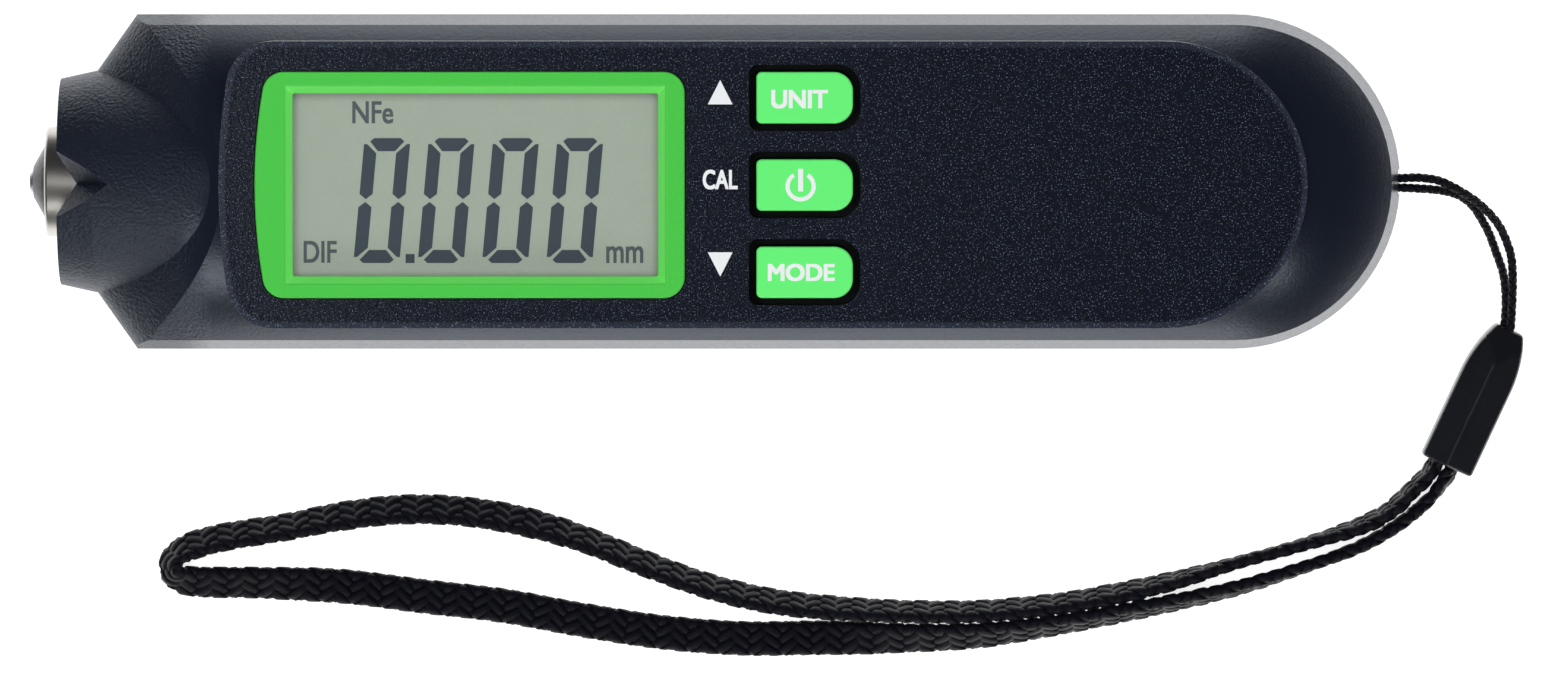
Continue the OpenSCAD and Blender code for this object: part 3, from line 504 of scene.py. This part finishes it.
def floor_finish():
    """Pale, lifted to white for the camera; in reflections only the floor near the gauge is bright."""
    f = Finish("floor", Roughness=0.9, Emission_Color=WHITE)
    ray = f.add("LightPath").outputs
    place = f.axes()
    along = f.math("ABSOLUTE", f.math("SUBTRACT", place["X"], VIEW_MIDDLE[0]))
    across = f.math("ABSOLUTE", place["Y"])
    away = f.math("MULTIPLY", f.between(across, *MIRRORED_ACROSS), f.between(along, *MIRRORED_ALONG))
    away = f.math("MAXIMUM", away, f.between(along, *MIRRORED_ENDS))
    dim = f.math("MULTIPLY", ray["Is Glossy Ray"], away)
    f.set("Base Color", f.blend_colours(dim, FLOOR_PALE, FLOOR_DIM))
    direct = f.math("MAXIMUM", ray["Is Camera Ray"], ray["Is Transmission Ray"])
    direct = f.math("MULTIPLY", direct, FLOOR_GLOW)
    mirrored = f.math("SUBTRACT", ray["Is Glossy Ray"], dim)
    mirrored = f.math("MULTIPLY", mirrored, FLOOR_MIRRORED)
    f.set("Emission Strength", f.math("ADD", direct, mirrored))
    return f.material


def add_floor():
    """Floor just below the gauge, which keeps its shadow."""
    h = FLOOR_SIZE / 2
    corners = [(-h, -h), (h, -h), (h, h), (-h, h)]
    mesh = bpy.data.meshes.new("floor")
    mesh.from_pydata([(x, y, FLOOR_LEVEL) for x, y in corners], [], [(0, 1, 2, 3)])
    mesh.materials.append(floor_finish())
    add_object("floor", mesh)


WORLD_TINT = (0.94, 0.97, 1.0, 1.0)
HORIZON_FADE = (-0.05, 0.12)
HORIZON_LIGHT = 0.3
ZENITH_LIGHT = 0.05


def add_world():
    """Bright band near the horizon under a dark ceiling."""
    world = bpy.data.worlds.new("studio")
    world.use_nodes = True
    nodes, links = world.node_tree.nodes, world.node_tree.links
    background = nodes["Background"]
    background.inputs["Color"].default_value = WORLD_TINT
    direction = nodes.new("ShaderNodeTexCoord")
    split = nodes.new("ShaderNodeSeparateXYZ")
    links.new(direction.outputs["Generated"], split.inputs["Vector"])
    fade = nodes.new("ShaderNodeMapRange")
    fade.interpolation_type = "SMOOTHSTEP"
    fade.inputs["From Min"].default_value = HORIZON_FADE[0]
    fade.inputs["From Max"].default_value = HORIZON_FADE[1]
    fade.inputs["To Min"].default_value = HORIZON_LIGHT
    fade.inputs["To Max"].default_value = ZENITH_LIGHT
    links.new(split.outputs["Z"], fade.inputs["Value"])
    links.new(fade.outputs["Result"], background.inputs["Strength"])
    bpy.context.scene.world = world


# Place and size in metres, power in watts
SOFTBOXES = {
    "front_softbox": {"place": (0.0, -0.62, 0.42), "size": (0.9, 0.24), "power": 1.5},
    "nose_softbox": {"place": (-0.32, -0.03, 0.72), "size": (0.26, 0.26), "power": 0.3},
    "top_fill": {"place": (0.0, 0.1, 1.0), "size": (0.8, 0.8), "power": 8.1, "mirrored": False},
}


def add_softbox(name, place, size, power, mirrored=True):
    """Rectangular lamp that faces the gauge."""
    data = bpy.data.lights.new(name, "AREA")
    data.shape = "RECTANGLE"
    data.size, data.size_y = size
    data.energy = power
    lamp = add_object(name, data)
    lamp.location = place
    x, y, z = np.array(place) - np.array(VIEW_MIDDLE)
    lamp.rotation_euler = (math.atan2(math.hypot(x, y), z), 0, math.atan2(x, -y))
    lamp.visible_glossy = mirrored


def add_light():
    """The surroundings, a softbox in front, a small one over the nose, and a fill from above."""
    add_world()
    for name, lamp in SOFTBOXES.items():
        add_softbox(name, **lamp)


# Strap, whose routes are those of the solids, in millimetres and degrees

TAIL_POST = (58.4, 0.0, 11.0)
POST_TURN = 1.15
POST_ANGLES = (-90, -135, -180, -225, -270)
THIN_ROUTE_OUT = [
    (70.95, -14.2, 2.35), (71.26, -13.1, 2.6), (71.36, -11.1, 2.95), (71.25, -9.5, 3.2),
    (71, -8.2, 3.6), (70.4, -6.6, 4.4), (69.75, -4.95, 5.4), (69.1, -3.75, 6.5),
    (68.2, -2.4, 7.65), (67.15, -1.5, 8.75), (66.1, -1.05, 9.5), (64.6, -0.75, 10.4),
    (62.6, -0.6, 10.9), (61.4, -0.55, 11), (60.4, -0.5, 11), (59.8, -0.55, 11), (59.2, -0.9, 11),
]
THIN_ROUTE_BACK = [
    (59.2, 0.9, 11), (59.8, 0.5, 11), (60.4, 0.4, 11), (61.4, 0.3, 11), (62.6, 0.35, 11),
    (63.6, 0.3, 10.9), (64.8, 0.1, 10.75), (66, -0.4, 10.45), (67.15, -1.05, 9.75), (68.35, -1.85, 8.7),
    (69.65, -3, 7.3), (70.65, -4.25, 6), (71.3, -5.6, 5.1), (71.75, -7, 4.5), (71.9, -8.65, 4.1),
    (71.9, -10.3, 3.8), (71.85, -11.9, 3.5), (71.75, -13.5, 3.2), (71.45, -14.6, 3),
]
BRAID_WIDTH = 3.4
BRAID_THICKNESS = 1.25
FLOOR_GAP = 0.05

# X, Y and the width that shows from above
WRIST_ROUTE = [
    (65.5, -24.75, 1.4), (64.95, -25.9, 1.4), (64.2, -26.95, 1.4), (62.65, -28.45, 1.45),
    (61.05, -29.95, 1.45), (58.2, -31.45, 1.45), (52.6, -33.25, 1.25), (47.1, -34.75, 1.25),
    (41.7, -36.3, 1.5), (36.3, -37.55, 1.75), (30.8, -38.5, 1.8),
    (23.8, -39.15, 1.85), (16.6, -39.15, 1.9), (9.4, -38.75, 2.1), (4.1, -38.05, 2.2),
    (-1.2, -36.7, 2.2), (-6.6, -34.75, 2.25), (-12, -32.6, 2.35), (-17.5, -31, 2.7), (-23, -30.1, 2.7),
    (-28.4, -29.95, 2.7), (-33.8, -30.55, 2.6), (-39, -31.55, 2.4), (-44, -32.35, 2.5),
    (-47, -33.1, 2.5), (-48.8, -34, 2.2), (-49.3, -35, 2.1), (-48.9, -36, 2.3),
    (-46.8, -36.5, 3), (-41, -36.6, 3.1), (-33.6, -36.95, 3.4), (-26.4, -37.85, 3.4),
    (-19.2, -38.7, 3.4), (-12, -40, 3.4), (-4.8, -41.1, 3.4), (2.4, -41.65, 3.4), (9.4, -41.6, 3.4),
    (16.6, -41.6, 2.9), (23.8, -41.35, 2.4), (30.8, -40.4, 1.9), (36.3, -39.4, 1.75),
    (41.7, -38.3, 1.6), (47.1, -37.05, 1.45), (52.6, -35.35, 1.3), (58, -33.4, 1.25),
    (61.6, -31.4, 1.25), (64.3, -29.2, 1.25), (65.45, -27.85, 1.35), (66.35, -26.55, 1.4),
    (66.85, -25.4, 1.4),
]

# How each cord is braided, in metres, as braid() explains
WRIST_WEAVE = {
    "section": (1.32 * MM, 0.31 * MM), "carriers": 6, "lead": 8.4 * MM, "strand": (0.92 * MM, 0.28 * MM),
    "sides": 6,
}
THIN_WEAVE = {
    "section": (0.25 * MM, 0.249 * MM), "carriers": 4, "lead": 2.4 * MM, "strand": (0.38 * MM, 0.17 * MM),
    "sides": 5,
}
WRIST_STEP = 0.24 * MM
THIN_STEP = 0.11 * MM
CROSSING_SHARPNESS = 1.3
CORE_SIDES = 12
CORE_STRIDE = 3
SPLINE_STEPS = 24
ROUNDING_ROOM = 1e-9


def spline(points, step):
    """Points about step apart on a Catmull-Rom curve through the given rows, and how far along each lies."""
    rows = np.array(points, float)
    ends = np.vstack([2 * rows[0] - rows[1], rows, 2 * rows[-1] - rows[-2]])
    fine = []
    for a, b, c, d in zip(ends, ends[1:], ends[2:], ends[3:]):
        for t in np.linspace(0, 1, SPLINE_STEPS, endpoint=False):
            fine.append(
                0.5 * (2 * b + (c - a) * t + (2 * a - 5 * b + 4 * c - d) * t ** 2
                       + (3 * b - a - 3 * c + d) * t ** 3)
            )
    fine = np.array(fine + [rows[-1]])
    run = np.concatenate([[0], np.cumsum(np.linalg.norm(np.diff(fine[:, :3], axis=0), axis=1))])
    places = np.linspace(0, run[-1], max(2, int(round(run[-1] / step))))
    return np.stack([np.interp(places, run, column) for column in fine.T], axis=1), places


def unit(vectors):
    """Rows scaled to length 1."""
    return vectors / np.linalg.norm(vectors, axis=1)[:, None]


def flat_ring(share, half_width, half_height):
    """Point and outward direction at a share of the way round a flat ring with round ends."""
    straight = 2 * (half_width - half_height)
    bend = math.pi * half_height
    at = np.mod(share, 1.0) * 2 * (straight + bend)
    corner = half_width - half_height
    x = np.empty_like(at)
    y = np.empty_like(at)
    nx = np.empty_like(at)
    ny = np.empty_like(at)
    spans = [0, straight, straight + bend, 2 * straight + bend, 2 * straight + 2 * bend + ROUNDING_ROOM]
    for k, (low, high) in enumerate(zip(spans, spans[1:])):
        here = (at >= low) & (at < high)
        d = at[here] - low
        sign = 1 if k < 2 else -1
        if k % 2 == 0:
            x[here] = sign * (corner - d)
            y[here] = sign * half_height
            nx[here] = 0
            ny[here] = sign
        else:
            angle = math.pi / 2 * sign + d / half_height
            nx[here] = np.cos(angle)
            ny[here] = np.sin(angle)
            x[here] = -sign * corner + half_height * nx[here]
            y[here] = half_height * ny[here]
    return x, y, nx, ny


class Tubes:
    """Closed tubes that are gathered into one smooth piece."""

    def __init__(self):
        self.vertices = []
        self.faces = []
        self.uvs = []

    def add(self, rings, along):
        """A tube through rings of points, with how far along its length each ring lies."""
        start = len(self.vertices)
        count, sides = rings.shape[:2]
        self.vertices.extend(map(tuple, rings.reshape(-1, 3)))
        for i in range(count - 1):
            a = start + i * sides
            u0, u1 = along[i], along[i + 1]
            for k in range(sides):
                n = (k + 1) % sides
                v0, v1 = k / sides * MM, (k + 1) / sides * MM
                self.faces.append((a + k, a + n, a + sides + n, a + sides + k))
                self.uvs.extend([(u0, v0), (u0, v1), (u1, v1), (u1, v0)])
        for i, order in ((0, range(sides - 1, -1, -1)), (count - 1, range(sides))):
            self.faces.append(tuple(start + i * sides + k for k in order))
            self.uvs.extend([(along[i], 0.0)] * sides)

    def piece(self, name, material):
        """The tubes as an object."""
        mesh = bpy.data.meshes.new(name)
        mesh.from_pydata(self.vertices, [], self.faces)
        layer = mesh.uv_layers.new(name="strands")
        layer.data.foreach_set("uv", np.array(self.uvs, np.float32).ravel())
        mesh.shade_smooth()
        mesh.materials.append(material)
        return add_object(name, mesh)


def oval_rings(middle, across, out, half_width, half_height, angles):
    """Rings of points about a line's points, oval between its across and out directions."""
    sideways = across[:, None, :] * (half_width * np.cos(angles))[None, :, None]
    outward = out[:, None, :] * (half_height * np.sin(angles))[None, :, None]
    return middle[:, None, :] + sideways + outward


def braid(name, path, run, roll, section, carriers, lead, strand, sides):
    """Braided cord: two families of strands that wind round a flat ring and pass over and under in pairs.

    section is the half width and half height of the ring that the strands' middles follow,
    carriers the number of strands that wind each way, lead the length of one turn, strand
    the width and thickness of one strand, and sides the number of its faces.
    """
    width, thickness = strand
    ahead = unit(np.gradient(path, axis=0))
    side = unit(np.stack([-ahead[:, 1], ahead[:, 0], np.zeros(len(path))], axis=1))
    up = np.cross(ahead, side)
    wide = np.cos(roll)[:, None] * side + np.sin(roll)[:, None] * up
    high = -np.sin(roll)[:, None] * side + np.cos(roll)[:, None] * up
    crossings = 2 * carriers * run / lead
    wave = CROSSING_SHARPNESS * np.cos(math.pi / 2 * crossings - math.pi / 4)
    lift = np.clip(wave, -1, 1) * thickness / 2
    angles = 2 * math.pi * (np.arange(sides) + 0.5) / sides
    tubes = Tubes()
    for way in (1, -1):
        for k in range(carriers):
            x, y, nx, ny = flat_ring(way * run / lead + k / carriers, *section)
            out = nx[:, None] * wide + ny[:, None] * high
            middle = path + x[:, None] * wide + y[:, None] * high + way * lift[:, None] * out
            tangent = unit(np.gradient(middle, axis=0))
            across = unit(np.cross(tangent, out))
            out = np.cross(across, tangent)
            tubes.add(oval_rings(middle, across, out, width / 2, thickness / 2, angles), run)
    x, y, _, _ = flat_ring(np.arange(CORE_SIDES) / CORE_SIDES, *section)
    core = path[:, None, :] + x[None, :, None] * wide[:, None, :] + y[None, :, None] * high[:, None, :]
    tubes.add(core[::CORE_STRIDE], run[::CORE_STRIDE])
    return tubes.piece(name, FINISHES["cord"])


def stand_for(piece, node, body):
    """Shows a piece in place of a solid of a body."""
    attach(piece, body)
    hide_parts(node)


def add_wrist_loop():
    """Flat braid that lies on its face or stands on edge, as its width in the route says."""
    rows = []
    for x, y, seen in WRIST_ROUTE:
        spread = (seen ** 2 - BRAID_THICKNESS ** 2) / (BRAID_WIDTH ** 2 - BRAID_THICKNESS ** 2)
        roll = math.acos(math.sqrt(min(1.0, max(0.0, spread))))
        tall = math.hypot(BRAID_WIDTH * math.sin(roll), BRAID_THICKNESS * math.cos(roll))
        rows.append((x * MM, y * MM, (tall / 2 + FLOOR_GAP) * MM, roll))
    table, run = spline(rows, WRIST_STEP)
    path = table[:, :3]
    cord = braid("wrist_braid", path, run, table[:, 3], **WRIST_WEAVE)
    stand_for(cord, "wrist_loop", "housing")


def add_thin_loop():
    """Thin round cord from the joiner, round the post in the tail and back."""
    x, y, z = TAIL_POST
    turn = [
        (x + POST_TURN * math.cos(angle), y + POST_TURN * math.sin(angle), z)
        for angle in np.radians(POST_ANGLES)
    ]
    rows = np.array(THIN_ROUTE_OUT + turn + THIN_ROUTE_BACK) * MM
    path, run = spline(rows, THIN_STEP)
    cord = braid("thin_cord", path, run, np.zeros(len(run)), **THIN_WEAVE)
    stand_for(cord, "thin_loop", "housing")


# Return spring of the probe

WIRE_RADIUS = 0.3 * MM
SPRING_TURNS = 4
SPRING_STEPS = 40
SPRING_SIDES = 10


def add_return_spring():
    """Round-wire spring behind the probe, which goes with the probe's body."""
    low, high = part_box("probe_spring")
    y, z = (low.y + high.y) / 2, (low.z + high.z) / 2
    radius = (high.y - low.y) / 2 - WIRE_RADIUS
    count = SPRING_TURNS * SPRING_STEPS + 1
    turn = np.linspace(0, 2 * math.pi * SPRING_TURNS, count)
    along = np.linspace(low.x + WIRE_RADIUS, high.x - WIRE_RADIUS, count)
    out = np.stack([np.zeros(count), np.sin(turn), -np.cos(turn)], axis=1)
    middle = np.array([0, y, z]) + radius * out
    middle[:, 0] = along
    across = unit(np.cross(np.gradient(middle, axis=0), out))
    angles = 2 * math.pi * np.arange(SPRING_SIDES) / SPRING_SIDES
    tubes = Tubes()
    tubes.add(oval_rings(middle, across, out, WIRE_RADIUS, WIRE_RADIUS, angles), along)
    spring = tubes.piece("return_spring", FINISHES["steel"])
    stand_for(spring, "probe_spring", "probe")
    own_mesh(spring)


# Printed pieces

PRINT_DEPTH = 0.02 * MM

# Shape of the words before they are scaled, in units of the letters' size
LETTER_RELIEF = 0.02
LETTER_STEPS = 6
LETTER_COPIES = [(0, 0), (1, 1), (1, -1), (-1, 1), (-1, -1)]
COPY_RISE = 0.002
UPRIGHT_SHARE = 0.7


def printed(name, vertices, faces, material, body):
    """Thin piece that goes with a body."""
    mesh = bpy.data.meshes.new(name)
    mesh.from_pydata(vertices, [], faces)
    mesh.materials.append(material)
    piece = add_object(name, mesh)
    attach(piece, body)


def flat_piece(name, outlines, bottom, material, body):
    """Thin raised piece made of flat outlines, each a list of points in the plane."""
    vertices, faces = [], []
    for outline in outlines:
        start, count = len(vertices), len(outline)
        vertices += [(x, y, bottom) for x, y in outline]
        vertices += [(x, y, bottom + PRINT_DEPTH) for x, y in outline]
        faces.append(tuple(start + count + i for i in range(count)))
        faces.append(tuple(start + i for i in range(count - 1, -1, -1)))
        for i in range(count):
            n = (i + 1) % count
            faces.append((start + i, start + n, start + count + n, start + count + i))
    printed(name, vertices, faces, material, body)


def letter_mesh(name, words):
    """Points and faces of words in Blender's own font."""
    curve = bpy.data.curves.new(name, "FONT")
    curve.body = words
    curve.extrude = LETTER_RELIEF
    curve.resolution_u = LETTER_STEPS
    maker = add_object(name + "_curve", curve)
    bpy.context.view_layer.update()
    plain = bpy.data.meshes.new_from_object(maker.evaluated_get(bpy.context.evaluated_depsgraph_get()))
    bpy.data.objects.remove(maker)
    points = np.array([vertex.co for vertex in plain.vertices], float)
    return points, [tuple(polygon.vertices) for polygon in plain.polygons]


def lettering(name, words, middle, size, bottom, weight, material, body):
    """Thin raised words of the given width and height about a middle, thickened by shifted copies."""
    points, outlines = letter_mesh(name, words)
    copies, faces = [], []
    for k, (dx, dy) in enumerate(LETTER_COPIES):
        faces += [tuple(v + k * len(points) for v in face) for face in outlines]
        copies.append(points + (dx * weight, UPRIGHT_SHARE * dy * weight, COPY_RISE * k))
    points = np.concatenate(copies)
    low, high = points.min(0), points.max(0)
    points = (points - (low + high) / 2) / (high - low)
    points *= (size[0], size[1], PRINT_DEPTH)
    points += (middle[0], middle[1], bottom + PRINT_DEPTH / 2)
    printed(name, [tuple(point) for point in points], faces, material, body)


# Display

DIGIT_COUNT = 4
DIGIT_WIDTH = 4.1 * MM
DIGIT_HEIGHT = 11.12 * MM
DIGIT_PITCH = 5.72 * MM
DIGIT_STROKE = 1.17 * MM
DIGIT_SLANT = math.tan(math.radians(5.2))
SEGMENT_GAP = 0.12 * MM
POINT_OFFSET = 4.65 * MM
POINT_SIDE = 0.8 * MM

# Lower left corner of the digits, from the display's middle
DIGITS_CORNER = (-10.9 * MM, -7.0 * MM)

# Name, words, middle from the display's middle, and width and height
DISPLAY_WORDS = [
    ("display_metal", "NFe", (-9.15 * MM, 6.4 * MM), (3.65 * MM, 2.0 * MM)),
    ("display_difference", "DIF", (-13.85 * MM, -6.0 * MM), (2.95 * MM, 1.95 * MM)),
    ("display_unit", "mm", (13.25 * MM, -6.25 * MM), (3.3 * MM, 1.5 * MM)),
]
DISPLAY_WEIGHT = 0.02


def zero_segments(x, y):
    """Outlines of the six lit segments of a slanted zero whose lower left corner is at x, y."""
    w, h, t, g = DIGIT_WIDTH, DIGIT_HEIGHT, DIGIT_STROKE, SEGMENT_GAP
    middle = h / 2 + g
    upper_left = [
        (0, h - 0.35 * t - g), (0.25 * t, h - 0.3 * t - 1.6 * g), (t, h - t - 1.6 * g),
        (t, middle + 0.4 * t), (t / 2, middle), (0, middle + 0.4 * t),
    ]
    top = [
        (0.45 * t, h - 0.25 * t), (0.75 * t, h), (w - 0.75 * t, h), (w - 0.45 * t, h - 0.25 * t),
        (w - t - g, h - t), (t + g, h - t),
    ]
    upper_right = [(w - px, py) for px, py in reversed(upper_left)]
    segments = [upper_left, upper_right, top]
    segments += [[(px, h - py) for px, py in reversed(outline)] for outline in segments]
    return [[(x + px + py * DIGIT_SLANT, y + py) for px, py in outline] for outline in segments]


def add_display():
    """Segments and small words on the display glass."""
    x, y, top = top_middle("lcd_panel")
    left, bottom = x + DIGITS_CORNER[0], y + DIGITS_CORNER[1]
    outlines = []
    for k in range(DIGIT_COUNT):
        outlines += zero_segments(left + k * DIGIT_PITCH, bottom)
    start, end = left + POINT_OFFSET, left + POINT_OFFSET + POINT_SIDE
    high = bottom + POINT_SIDE
    outlines.append([(start, bottom), (end, bottom), (end, high), (start, high)])
    flat_piece("display_digits", outlines, top, SEGMENT_DARK, "housing")
    for name, words, (dx, dy), size in DISPLAY_WORDS:
        lettering(
            name, words, (x + dx, y + dy), size, top, DISPLAY_WEIGHT,
            SEGMENT_PALE, "housing",
        )


# Marks on the keys and beside them

# Name, words, key, its body, middle from the key's middle, and width and height
KEY_WORDS = [
    ("unit_word", "UNIT", "unit_button", "unit_key", (-0.45 * MM, -0.12 * MM), (5.05 * MM, 1.65 * MM)),
    ("mode_word", "MODE", "mode_button", "mode_key", (-0.3 * MM, 0.0), (5.95 * MM, 1.55 * MM)),
]
KEY_WEIGHT = 0.035

# Middle of the on and off sign, from its key's middle, its ring, whose arc is in degrees, and its bar
SIGN_OFFSET = (-0.36 * MM, -0.1 * MM)
SIGN_RADIUS = 1.34 * MM
SIGN_STROKE = 0.36 * MM
SIGN_ARC = (122, 418)
SIGN_STEPS = 49
BAR_HALF_WIDTH = 0.22 * MM
BAR_SPAN = (-0.45 * MM, 1.55 * MM)

# Column of marks before the keys, with Y from the gauge's middle line
MARKS_BEFORE_KEYS = 7.5 * MM
CALIBRATE_Y = 0.48 * MM
CALIBRATE_SIZE = (3.1 * MM, 1.76 * MM)
CALIBRATE_WEIGHT = 0.03
TRIANGLE_HALF = (1.1 * MM, 1.08 * MM)

# Name, Y of the middle, and way that it points along Y
TRIANGLES = [("up_mark", 8.24 * MM, 1), ("down_mark", -7.06 * MM, -1)]


def power_outlines(x, y):
    """Broken ring and bar of the usual on and off sign."""
    angles = np.radians(np.linspace(*SIGN_ARC, SIGN_STEPS))
    inner = SIGN_RADIUS - SIGN_STROKE
    ring = [(x + SIGN_RADIUS * math.cos(a), y + SIGN_RADIUS * math.sin(a)) for a in angles]
    ring += [(x + inner * math.cos(a), y + inner * math.sin(a)) for a in angles[::-1]]
    left, right = x - BAR_HALF_WIDTH, x + BAR_HALF_WIDTH
    low, high = y + BAR_SPAN[0], y + BAR_SPAN[1]
    return [ring, [(left, low), (right, low), (right, high), (left, high)]]


def add_key_marks():
    """White words and the on and off sign, which go down with their keys."""
    for name, words, key, body, (dx, dy), size in KEY_WORDS:
        x, y, top = top_middle(key)
        lettering(name, words, (x + dx, y + dy), size, top, KEY_WEIGHT, WHITE_PRINT, body)
    x, y, top = top_middle("power_button")
    outlines = power_outlines(x + SIGN_OFFSET[0], y + SIGN_OFFSET[1])
    flat_piece("power_sign", outlines, top, WHITE_PRINT, "power_key")


def add_panel_marks():
    """White word and triangles on the panel beside the keys."""
    x = top_middle("power_button")[0] - MARKS_BEFORE_KEYS
    lettering(
        "calibrate_word", "CAL", (x, CALIBRATE_Y), CALIBRATE_SIZE, PANEL_TOP, CALIBRATE_WEIGHT,
        WHITE_PRINT, "housing",
    )
    half, tall = TRIANGLE_HALF
    for name, y, way in TRIANGLES:
        base, tip = y - way * tall, y + way * tall
        outline = [(x - way * half, base), (x + way * half, base), (x, tip)]
        flat_piece(name, [outline], PANEL_TOP, WHITE_PRINT, "housing")


add_camera()
add_light()
add_floor()
dress_nodes()
round_edges()
add_wrist_loop()
add_thin_loop()
add_return_spring()
add_display()
add_key_marks()
add_panel_marks()

bpy.context.scene.view_settings.view_transform = "Standard"
